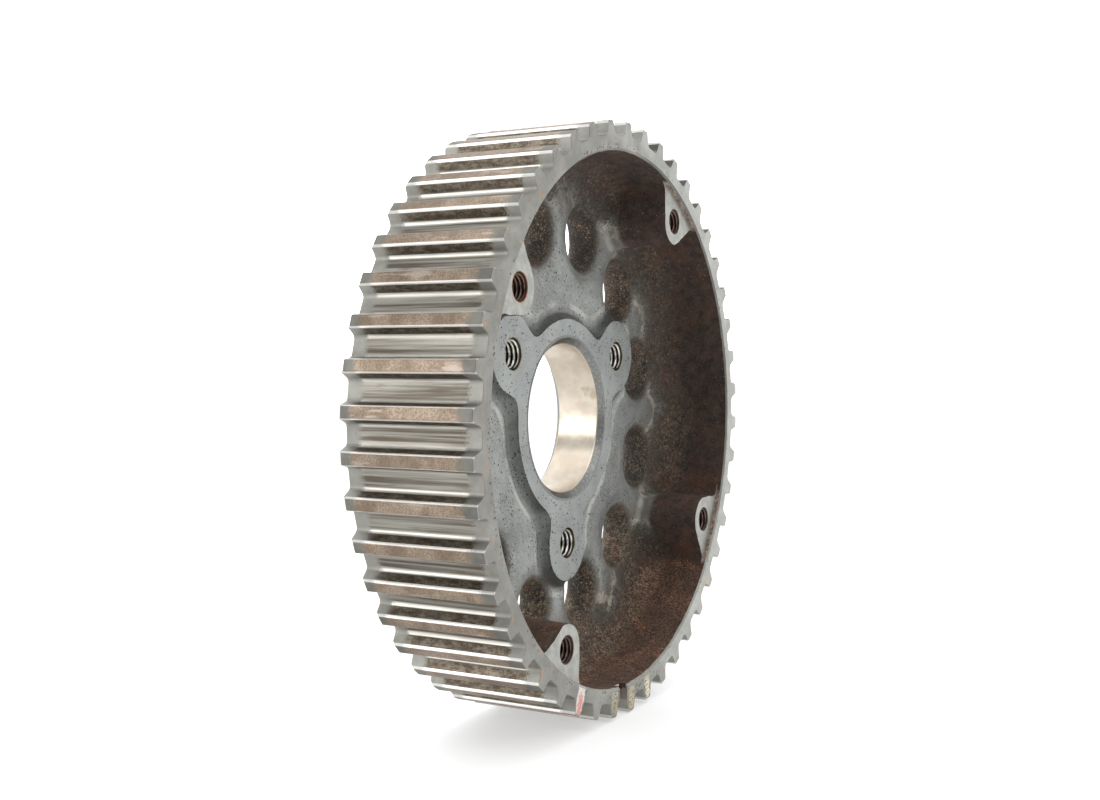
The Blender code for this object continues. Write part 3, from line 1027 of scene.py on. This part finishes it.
def casting_noises(finish):
    """Noise of five sizes, from broad clouds down to single grains of sand."""
    broad = finish.noise(9.0, detail=4.0, rough=0.6)
    middle = finish.noise(2.4, detail=4.0, rough=0.65)
    fine = finish.noise(0.8, detail=3.0, rough=0.65)
    grit = finish.noise(0.42, detail=3.0, rough=0.7)
    sand = finish.noise(0.3, detail=2.0, rough=0.6)
    return broad, middle, fine, grit, sand


def milled_faces(finish):
    """Masks of the hub's two faces and of the lug faces."""
    face = abs(finish.facing("Y")).rise(0.9, 0.97)
    hub_milled = finish.depth.near(HUB_FACE, 0.1) + finish.depth.near(HUB_BACK, 0.1)
    milled = hub_milled * finish.radius.rise(37, 36) * face
    lug_milled = finish.depth.near(LUG_FACE, 0.1) * finish.radius.rise(RIM_INNER + 0.05, RIM_INNER - 0.05)
    return milled, lug_milled * face


def raw_skin(finish, noises, funnel):
    """Masks of all the raw skin and of the part of it in the windows."""
    broad, middle, fine, grit, _ = noises
    ragged = (broad - 0.5) * 8 + (middle - 0.5) * 5 + (fine - 0.5) * 5 + (grit - 0.5) * 7
    outwards = finish.radius - (funnel - 4) * 0.5 + ragged
    outside = outwards.rise(43.5, 47.5)
    in_window = (funnel - ragged * 0.12).rise(3.0, 1.2)
    wall = (finish.depth + (middle - 0.5) * 2).rise(12.8, 11.4)
    return outside.either(in_window).either(wall), in_window


print("Casting masks ready")

# %% [markdown]
# The cleaned web is blasted grey iron with tiny black pits, which come from one pattern of
# scattered points in two sizes. Towards the raw skin it is weathered khaki, and at the right the
# border's ridge carries a thin painted highlight.

# %% Colours of the cleaned web


def grey_web(finish, noises, funnel):
    broad, middle, _, grit, sand = noises
    grey = finish.blend(broad.rise(0.3, 0.7), (124, 126, 123), (152, 154, 150))
    grey = grey.coat(middle.rise(0.5, 0.7) * 0.45, (112, 113, 109))
    hole = finish.pits(1.3).rise(0.17, 0.1) * finish.noise(4.0, detail=2.0).rise(0.38, 0.48)
    pin = finish.pits(0.7).rise(0.24, 0.14) * finish.noise(6.0, detail=2.0).rise(0.4, 0.55)
    pit = hole.either(pin)
    grey = grey.coat(sand.rise(0.54, 0.64) * 0.5, (86, 84, 80))
    grey = grey.coat(grit.rise(0.42, 0.34) * 0.5, (188, 189, 184))
    smooth_out = finish.radius - (funnel - 4) * 0.5 + (broad - 0.5) * 8 + (middle - 0.5) * 5
    # Painted highlight: a thin pale line along the border's ridge, on front-facing skin at the right.
    crest = smooth_out.near(43.6, 0.7) * (middle + grit * 0.6).rise(0.6, 0.85) * finish.x.rise(0, 14)
    crest = crest * finish.facing("Y").rise(0.2, -0.2)
    weathered = smooth_out.rise(38, 43.5) * (0.4 + 0.6 * middle)
    grey = grey.coat(weathered * 0.7, (126, 117, 102))
    grey = grey.coat(crest * 0.6, (200, 194, 180))
    return grey, pit


print("Grey colours ready")

# %% [markdown]
# The raw skin is dark brown and very rough. It has rust, most of all on the low side, pale khaki
# speckle, and black hollows between the grains. `crust` is where the skin is roughest, which is
# near the web.

# %% Colours of the raw skin


def brown_skin(finish, noises, in_window, beside_lug):
    broad, middle, fine, grit, sand = noises
    low_side = (finish.z * -1 + (broad - 0.5) * 30).rise(0, 40)
    brown = finish.blend(middle.rise(0.35, 0.65), (46, 36, 31), (72, 56, 46))
    swirl = finish.noise(3.0, detail=5.0, rough=0.75, warp=1.5).rise(0.5, 0.66)
    brown = brown.coat(swirl * finish.x.rise(10, -20) * 0.7, (106, 93, 74))
    rust = finish.noise(7.0, detail=5.0, rough=0.7, warp=0.6).rise(0.46, 0.64)
    brown = brown.coat(rust * (0.3 + 0.3 * low_side), (98, 62, 44))
    grained = finish.blend(grit.rise(0.4, 0.6), (46, 33, 27), (142, 102, 77))
    upward = finish.facing("Z").rise(0.1, 0.7)
    # Rust on the low, upward-facing skin, held back beside the lugs so the wall there stays dark as
    # painted shade.
    rust_less_lug_shade = low_side * upward * (1 - beside_lug * 0.8)
    brown = finish.blend(rust_less_lug_shade * (0.4 + 0.6 * rust), brown, grained)
    near_web = (finish.depth + (broad - 0.5) * 10).rise(8.0, 15.0)
    crust = near_web * (0.45 + 0.55 * low_side) * (middle * 0.5 + broad).rise(0.45, 0.8)
    brown = brown.coat(crust * fine.rise(0.42, 0.6) * 0.75, (118, 108, 92))
    orange = finish.noise(3.0, detail=3.0, rough=0.6).rise(0.6, 0.7) * in_window
    brown = brown.coat(orange * 0.7, (132, 80, 56))
    smooth_funnel = in_window * (broad + middle * 0.4).rise(0.8, 0.6)
    brown = brown.coat(smooth_funnel * 0.8, (52, 47, 41))
    khaki = grit.rise(0.56, 0.66) * (0.1 + 0.8 * crust)
    khaki = khaki.either(sand.rise(0.58, 0.66) * in_window * middle.rise(0.42, 0.58))
    brown = brown.coat(khaki * 0.75, (178, 166, 140))
    speck = finish.pits(0.9).rise(0.14, 0.07) * (0.3 + 0.7 * broad.rise(0.4, 0.6))
    brown = brown.coat(speck * 0.75, (172, 160, 142))
    hollow = grit.rise(0.44, 0.34) * (0.3 + 0.7 * crust)
    brown = brown.coat(hollow, (18, 15, 13))
    return brown, crust


print("Brown colours ready")

# %% [markdown]
# The casting's finish puts these together. The groove round the hub is darkened with painted shade
# and a little dirt, and its outer lip gets a painted highlight; places shut in are darkened as dirt
# and painted shade, and a thin strip of the rim's inner edge beside each lug gets a pale painted
# highlight. The bump is deepest where the skin is crusty.

# %% Finish of the casting


def cast_iron_skin():
    finish = Finish("cast_iron_skin", metallic=0.2, roughness=0.6)
    noises = casting_noises(finish)
    broad, middle, fine, grit, sand = noises
    read = []
    for word in stored:
        settings = {"attribute_type": "GEOMETRY", "attribute_name": word}
        read.append(finish.node("ShaderNodeAttribute", settings, output="Fac"))
    crevice, funnel, hub_gap = read
    milled, lug_milled = milled_faces(finish)
    any_cut = milled.either(lug_milled)
    raw, in_window = raw_skin(finish, noises, funnel)
    raw = raw * (1 - any_cut)
    beside_lug = (abs(finish.angle_from(*LUG_PATTERN[:2])) * RIM_INNER).rise(9.5, 8.0)
    grey, pit = grey_web(finish, noises, funnel)
    brown, crust = brown_skin(finish, noises, in_window, beside_lug)
    colour = finish.blend(raw, grey, brown)
    # Painted shade, with a little dirt: the groove round the hub is darkened.
    moat = hub_gap.rise(2.2, 1.0) * finish.radius.rise(36, 34) * (1 - raw * 0.6)
    colour = colour.coat(moat * 0.6, (54, 57, 56))
    # Painted highlight: a pale line along the groove's outer lip.
    painted_lip_highlight = hub_gap.near(2.9, 0.7) * (1 - raw) * (broad + fine * 0.3).rise(0.5, 0.8)
    colour = colour.coat(painted_lip_highlight * 0.55, (196, 196, 188))
    # Dirt and painted shade: places the field finds shut in are darkened.
    colour = colour.coat(crevice.rise(0.3, 0.8) * 0.5, (34, 32, 30))
    # Painted highlight: a thin strip of the rim's inner edge beside each lug is coloured pale.
    step_strip = finish.depth.rise(1.5, 1.0) * finish.radius.rise(RIM_INNER - 0.5, RIM_INNER - 0.3)
    step_strip = step_strip * beside_lug
    painted_strip_highlight = finish.blend(fine.rise(0.4, 0.6), (112, 88, 76), (164, 150, 138))
    colour = finish.blend(step_strip, colour, painted_strip_highlight)
    cut = finish.blend(broad.rise(0.3, 0.7), (134, 137, 135), (155, 158, 155))
    cut = cut.coat(sand.rise(0.6, 0.7) * 0.35, (112, 113, 110))
    lug_cut = finish.blend(middle.rise(0.35, 0.7), (148, 148, 142), (172, 172, 165))
    colour = finish.blend(milled, colour, cut)
    colour = colour.coat(pit * (1 - raw), (34, 32, 30))
    colour = finish.blend(lug_milled, colour, lug_cut)
    finish.set("Base Color", colour)
    finish.set("Metallic", 0.4 + 0.2 * any_cut - 0.4 * raw)
    finish.set("Roughness", 0.4 + raw * 0.42 + (fine - 0.5) * 0.2)
    crusty = fine * 2.0 + middle * 1.6 + grit * 1.4 + sand * 0.5
    height = raw * crusty * (0.4 + 0.6 * crust.either(in_window)) + (1 - any_cut) * sand * 0.12
    finish.bump(height - pit * (1 - raw) * 0.5, 0.22)
    return finish.material


casting_skin = cast_iron_skin()
for node, piece in castings.items():
    piece.data.materials.append(casting_skin)
    finish_piece(piece, "cast_iron", str(node))
print("Casting skin is on", len(castings), "pieces")

# %% [markdown]
# ## The ground bore
#
# The bore fits a shaft, so it is ground, and its edges are chamfered. It is made as a turned ring
# of its own, with more points round it than the casting has, because its two bright circles are
# the crispest edges on the wheel. Nearly two hundred points on each circle keep them round.

# %% Bore ring
BORE_STEPS = 192
LIP_HEIGHT = 0.05


def circle_loop(radius, depth, steps, centre=(0.0, 0.0)):
    turn = np.linspace(0, 2 * math.pi, steps, endpoint=False)
    x = centre[0] + radius * np.cos(turn)
    z = centre[1] + radius * np.sin(turn)
    return np.stack([x, np.full(steps, FRONT + depth), z], axis=1)


def ground_steel():
    finish = Finish("ground_steel", metallic=1.0, roughness=0.25)
    cloud = finish.noise(7.0, detail=3.0, rough=0.6)
    scratch = finish.noise(0.5, detail=3.0, rough=0.6, stretch=(1, 0.25, 1))
    bright = finish.blend(cloud.rise(0.35, 0.65), (188, 176, 160), (208, 199, 184))
    tinted = bright.coat(cloud.rise(0.56, 0.7) * 0.5, (142, 116, 90))
    inside = finish.radius.rise(BORE + 0.25, BORE + 0.05)
    ring = finish.blend(scratch.rise(0.4, 0.7), (118, 119, 116), (142, 142, 138))
    finish.set("Base Color", finish.blend(inside, ring, tinted))
    finish.set("Roughness", 0.24 + 0.12 * scratch + 0.08 * (1 - inside))
    finish.bump(scratch, 0.006)
    return finish.material


bore_profile = [
    (BORE, HUB_FACE + BORE_RING - BORE),
    (BORE, HUB_BACK - BORE_RING + BORE),
    (BORE_RING, HUB_BACK),
    (BORE_LIP - LIP_HEIGHT, HUB_BACK + LIP_HEIGHT),
    (BORE_LIP, HUB_BACK - LIP_HEIGHT),
    (BORE_LIP, HUB_FACE + LIP_HEIGHT),
    (BORE_LIP - LIP_HEIGHT, HUB_FACE - LIP_HEIGHT),
    (BORE_RING, HUB_FACE),
]
ground = ground_steel()
points, faces = turned_loops([circle_loop(*corner, BORE_STEPS) for corner in bore_profile])
bore_ring = mesh_piece("ground_bore", points, faces, ground, sharp=20)
finish_piece(bore_ring, "ground_steel")
print("Bore is", 2 * BORE, "mm across")

# %% [markdown]
# ## Tapped holes
#
# Seven holes hold real threads: three through the hub and four blind ones in the lugs. A thread is
# one helical groove, given here by its pitch and its inner and outer radius. On a grid of angles
# and depths its radius follows from how far round and how far in a point is, so a formula gives
# the thread, its countersunk mouth and its end at once.

# %% Thread sleeves
THREAD_STEPS = 36
ROWS_A_TURN = 8
HUB_THREAD = (1.0, 2.5, 3.0)
LUG_THREAD = (0.8, 2.1, 2.5)
SLEEVE_WALL = 0.45
DRILL_POINT = 1.3
DRILL_ROOM = 1.4


def threaded_sleeve(angle, circle, start, length, thread, mouth, blind):
    pitch, core, major = thread
    turn = np.linspace(0, 2 * math.pi, THREAD_STEPS, endpoint=False)
    centre = polar(circle, angle, 0)[::2]
    rows = int(length / pitch * ROWS_A_TURN)
    loops = []

    def add_loop(radius, depth):
        loops.append(circle_loop(radius, depth, THREAD_STEPS, centre))

    for row in range(rows + 1):
        inwards = length * row / rows
        wave = np.abs(2 * ((inwards / pitch - turn / (2 * math.pi)) % 1) - 1)
        groove = np.clip((wave - 0.12) / 0.76, 0, 1)
        radius = np.maximum(core + (major - core) * groove, mouth - inwards)
        if not blind:
            radius = np.maximum(radius, mouth - (length - inwards))
        add_loop(radius, start + inwards)
    if blind:
        for share in (0.96, 0.5, 0.02):
            add_loop(core * share, start + length + (1 - share))
        add_loop(core * 0.02, start + length + DRILL_POINT)
    add_loop(mouth + SLEEVE_WALL, start + length + (DRILL_POINT if blind else -LIP_HEIGHT))
    add_loop(mouth + SLEEVE_WALL, start + LIP_HEIGHT)
    return turned_loops(loops)


def thread_finish(name, pattern, thread, metallic, crest, groove, halo, rusty):
    """Colours for the thread's crest, its groove, its mouth, and the mouth of a rusty hole."""
    first, step, circle = pattern
    core, major = thread[1:]
    finish = Finish(name, metallic=metallic, roughness=0.35)
    middle = finish.noise(0.8, detail=3.0, rough=0.6)
    broad = finish.noise(3.0, detail=2.0)
    turn = finish.angle_from(first, step)
    across = finish.radius * turn.sum("SINE", turn)
    out = finish.radius * turn.sum("COSINE", turn) - circle
    reach = (across * across + out * out) ** 0.5
    crests = reach.rise(core + 0.6 * (major - core), core + 0.1)
    colour = finish.blend(crests, groove, crest)
    at_left = finish.x.rise(-10, -20) * finish.z.rise(10, 20)
    mouth = finish.blend(at_left * middle.rise(0.35, 0.55), halo, rusty)
    colour = finish.blend(reach.rise(major + 0.02, major + 0.12), colour, mouth)
    colour = colour.coat(middle.rise(0.5, 0.68) * 0.6, groove)
    finish.set("Base Color", colour)
    finish.set("Roughness", 0.3 + 0.3 * broad)
    finish.bump(middle, 0.03)
    return finish.material


iron_crest, iron_groove, khaki_ring = (232, 230, 222), (52, 45, 36), (150, 148, 128)
rusty_crest, rusty_groove, rusty_ring = (120, 96, 80), (24, 17, 14), (104, 78, 60)
orange_ring = (190, 104, 58)
hub_colours = (iron_crest, iron_groove, khaki_ring, khaki_ring)
lug_colours = (rusty_crest, rusty_groove, rusty_ring, orange_ring)
hub_length = HUB_BACK - HUB_FACE
lug_length = LUG_HOLE_DEPTH - DRILL_ROOM
for word, slot, count, pattern, start, length, thread, mouth, metallic, colours in (
    ("hub", "ground_steel", 3, HUB_PATTERN, HUB_FACE, hub_length, HUB_THREAD, HUB_HOLE, 1.0, hub_colours),
    ("lug", "cast_iron", 4, LUG_PATTERN, LUG_FACE, lug_length, LUG_THREAD, LUG_HOLE, 0.6, lug_colours),
):
    look = thread_finish(f"{word}_thread", pattern, thread, metallic, *colours)
    first, step, circle = pattern
    for number in range(count):
        angle = first + step * number + PATTERN_TURN
        blind = word == "lug"
        points, faces = threaded_sleeve(angle, circle, start, length, thread, mouth, blind)
        sleeve = mesh_piece(f"{word}_thread_{number + 1}", points, faces, look, sharp=30)
        finish_piece(sleeve, slot)
print("Seven threads cut")

# %% [markdown]
# ## Timing paint
#
# A fitter marks teeth with a brush when timing the engine: here a pink dab with a white border,
# and thin cream paint on three front faces by the notch, with dull red in the notch itself. Paint
# is a thin skin with a ragged edge, so each dab is a small grid laid on its face. Its rim dips
# towards the iron and its middle stands a few hundredths of a millimetre higher.

# %% Paint dabs
SHADE = np.random.default_rng(5)
DAB_ROWS = 16
DAB_COLUMNS = 12
DAB_THICKNESS = 0.03
RED_THICKNESS = 0.12
RED_LENGTH = 2.7
FLANK_MARGIN = 0.16
CREAM_TINTS = ((228, 222, 198), (188, 178, 142), (150, 142, 118))


def dab(name, corner, along, across, lift, width_at, finish):
    """A grid from `corner` along one direction; `width_at` gives its half-width at each share."""
    ragged = SHADE.uniform(-0.35, 0.15, (DAB_ROWS + 1, 2))
    points, faces = [], []
    for i in range(DAB_ROWS + 1):
        share = i / DAB_ROWS
        half = width_at(share)
        for j in range(DAB_COLUMNS + 1):
            side = 2 * j / DAB_COLUMNS - 1
            edge = min(1 - abs(side), 2 * min(share, 1 - share) * DAB_ROWS / DAB_COLUMNS)
            height = DAB_THICKNESS * min(1, edge * 4) - DAB_THICKNESS / 2
            reach = side * half + side * side * side * ragged[i][int(side > 0)]
            place = np.array(corner) + np.array(along) * share + np.array(across) * reach
            points.append(place + np.array(lift) * height)
    for i in range(DAB_ROWS):
        for j in range(DAB_COLUMNS):
            first = i * (DAB_COLUMNS + 1) + j
            faces.append((first, first + 1, first + DAB_COLUMNS + 2, first + DAB_COLUMNS + 1))
    return mesh_piece(name, points, faces, finish)


def directions(angle):
    turn = math.radians(angle)
    return np.array([math.cos(turn), 0, math.sin(turn)]), np.array([-math.sin(turn), 0, math.cos(turn)])


def tooth_width(radius):
    """Half the width of a tooth, a hair inside its flanks."""
    share = np.clip((radius - ROOT_RADIUS) / (TIP_RADIUS - ROOT_RADIUS), 0, 1)
    base = 2 * math.pi * ROOT_RADIUS / TEETH - GROOVE_FLOOR
    return (base + (TIP_LAND - base) * share) / 2 - FLANK_MARGIN


def face_dab(name, angle, low, high, spread, finish):
    out, across = directions(angle)
    corner = out * low + np.array([0, FRONT + PAINT_ROOM, 0])

    def width(share):
        radius = low + (high - low) * share
        return min(spread, tooth_width(radius)) if radius > ROOT_RADIUS - 0.3 else spread

    return dab(name, corner, out * (high - low), across, (0, -1, 0), width, finish)


def marking_paint(name, angle, middle_colour, border_colour, iron_colour, cover):
    """Paint that thins to its border colour at both sides of the brush stroke."""
    finish = Finish(name, metallic=0.0, roughness=0.5)
    across = directions(angle)[1]
    off_line = abs(finish.x * float(across[0]) + finish.z * float(across[2]))
    patch = finish.noise(1.5, detail=3.0, rough=0.6)
    fleck = finish.noise(0.45, detail=3.0, rough=0.65)
    wander = (patch - 0.5) * 5 + (fleck - 0.5) * 4
    border = (off_line + wander * 0.7).rise(0.6, 1.1)
    inner = (finish.radius + wander * 1.5).rise(RIM_INNER + 2.4, RIM_INNER + 1.0)
    border = border.either(inner).either(fleck.rise(0.46, 0.36) * 0.8)
    colour = finish.blend(border, middle_colour, border_colour)
    colour = colour.coat(fleck.rise(cover, cover + 0.07), iron_colour)
    finish.set("Base Color", colour)
    finish.set("Roughness", 0.45 + 0.25 * fleck)
    finish.bump(patch + fleck * 0.8, 0.05)
    return finish.material


tooth_step = 360 / TEETH
first_tooth = NOTCH_ANGLE + tooth_step / 2
pink_angle = NOTCH_ANGLE - 2.5 * tooth_step
iron_grey = (138, 132, 120)
pink = marking_paint("pink_paint", pink_angle, (214, 136, 128), (214, 207, 200), iron_grey, 0.6)
red = marking_paint("red_paint", NOTCH_ANGLE, (226, 128, 114), (206, 170, 158), (130, 100, 88), 0.6)
dabs = [face_dab("pink_dab", pink_angle, RIM_INNER + 0.3, TIP_RADIUS - 0.15, 1.7, pink)]
for number in range(3):
    angle = first_tooth + (1 - number) * tooth_step
    name = f"cream_paint_{number + 1}"
    cream = marking_paint(name, angle, CREAM_TINTS[number], (176, 168, 142), (78, 70, 58), 0.54)
    dabs.append(face_dab(f"cream_dab_{number + 1}", angle, RIM_INNER + 0.6, TIP_RADIUS - 0.2, 1.5, cream))
out, across = directions(pink_angle)
over = out * (TIP_RADIUS - 0.02) + np.array([0, FRONT + 0.3, 0])
dabs.append(dab("pink_dab_over_tip", over, (0, 3.4, 0), across, out * 0.4, lambda share: 0.85, pink))
out, across = directions(NOTCH_ANGLE)
floor_start = out * (RIM_INNER + 0.05) + np.array([0, FRONT + NOTCH_DEPTH - RED_THICKNESS, 0])
along = out * RED_LENGTH
dabs.append(dab("red_dab_in_notch", floor_start, along, across, (0, -1, 0), lambda share: 1.3, red))
for piece in dabs:
    finish_piece(piece, "marking_paint")
print(len(dabs), "paint dabs")

# %% [markdown]
# ## The studio
#
# The wheel stands on a seamless pale floor. Metal shows mostly what it reflects, so the lamps are
# large and soft: a broad one above for the tooth tips, one from the front left that rakes the
# teeth, and a weak one from the front that opens the dish. The world shines more from behind the
# wheel than from behind the camera, and an extra glow keeps the backdrop plain white all round.

# %% Floor, world and lamps
FLOOR_REACH = 6.0
FLOOR_GAP = 0.0002
BACKDROP_GLOW = 1.2
TOWARDS_BACKDROP = (0.875, 0.483, 0.0)
UP = (0.0, 0.0, 1.0)


def pale_floor():
    finish = Finish("pale_floor", metallic=0.0, roughness=0.55)
    finish.set("Base Color", linear(205, 205, 205))
    finish.set("Emission Color", linear(255, 255, 255))
    finish.set("Emission Strength", 0.45)
    level = cad_low.z - FLOOR_GAP
    corners = [(-1, -1), (1, -1), (1, 1), (-1, 1)]
    mesh = bpy.data.meshes.new("floor")
    mesh.from_pydata([(x * FLOOR_REACH, y * FLOOR_REACH, level) for x, y in corners], [], [(0, 1, 2, 3)])
    mesh.materials.append(finish.material)
    put_in_scene("floor", mesh)


def lamp(name, place, size, power):
    """A soft lamp, placed and sized in metres, that shines at the wheel's centre."""
    light = bpy.data.lights.new(name, "AREA")
    light.shape = "RECTANGLE"
    light.size, light.size_y = size
    light.energy = power
    holder = put_in_scene(name, light)
    holder.location = Vector(place)
    holder.rotation_euler = (-Vector(place)).to_track_quat("-Z", "Y").to_euler()


def studio_world(bright, dim, overhead):
    """Bright behind the wheel as seen by the camera, dimmer behind the camera, bright above."""
    world = bpy.data.worlds.new("studio")
    world.use_nodes = True
    sky = NodeTree(world.node_tree)
    direction = sky.node("ShaderNodeTexCoord", output="Generated")
    levels = []
    for axis, low, high, first, last in (
        (TOWARDS_BACKDROP, -0.9, 0.8, dim, bright),
        (UP, 0.35, 0.9, 0.0, overhead),
    ):
        settings = {"operation": "DOT_PRODUCT"}
        along = sky.node("ShaderNodeVectorMath", settings, {0: direction, 1: axis}, output="Value")
        levels.append(along.rise(low, high, first, last))
    seen = sky.node("ShaderNodeLightPath", output="Is Camera Ray")
    strength = seen * BACKDROP_GLOW + levels[0].either(levels[1])
    colour = linear(253, 254, 255)
    sky.fill(world.node_tree.nodes["Background"], {"Strength": strength, "Color": colour})
    bpy.context.scene.world = world


pale_floor()
lamp("top_lamp", (-0.20, 0.05, 0.60), (0.6, 0.5), 1.5)
lamp("left_lamp", (-0.62, 0.30, 0.16), (0.45, 0.30), 1.5)
lamp("dish_lamp", (-0.05, -0.55, 0.45), (0.4, 0.4), 0.9)
studio_world(1.6, 0.36, 0.95)
bpy.context.scene.view_settings.view_transform = "Standard"
print("Three soft lamps")
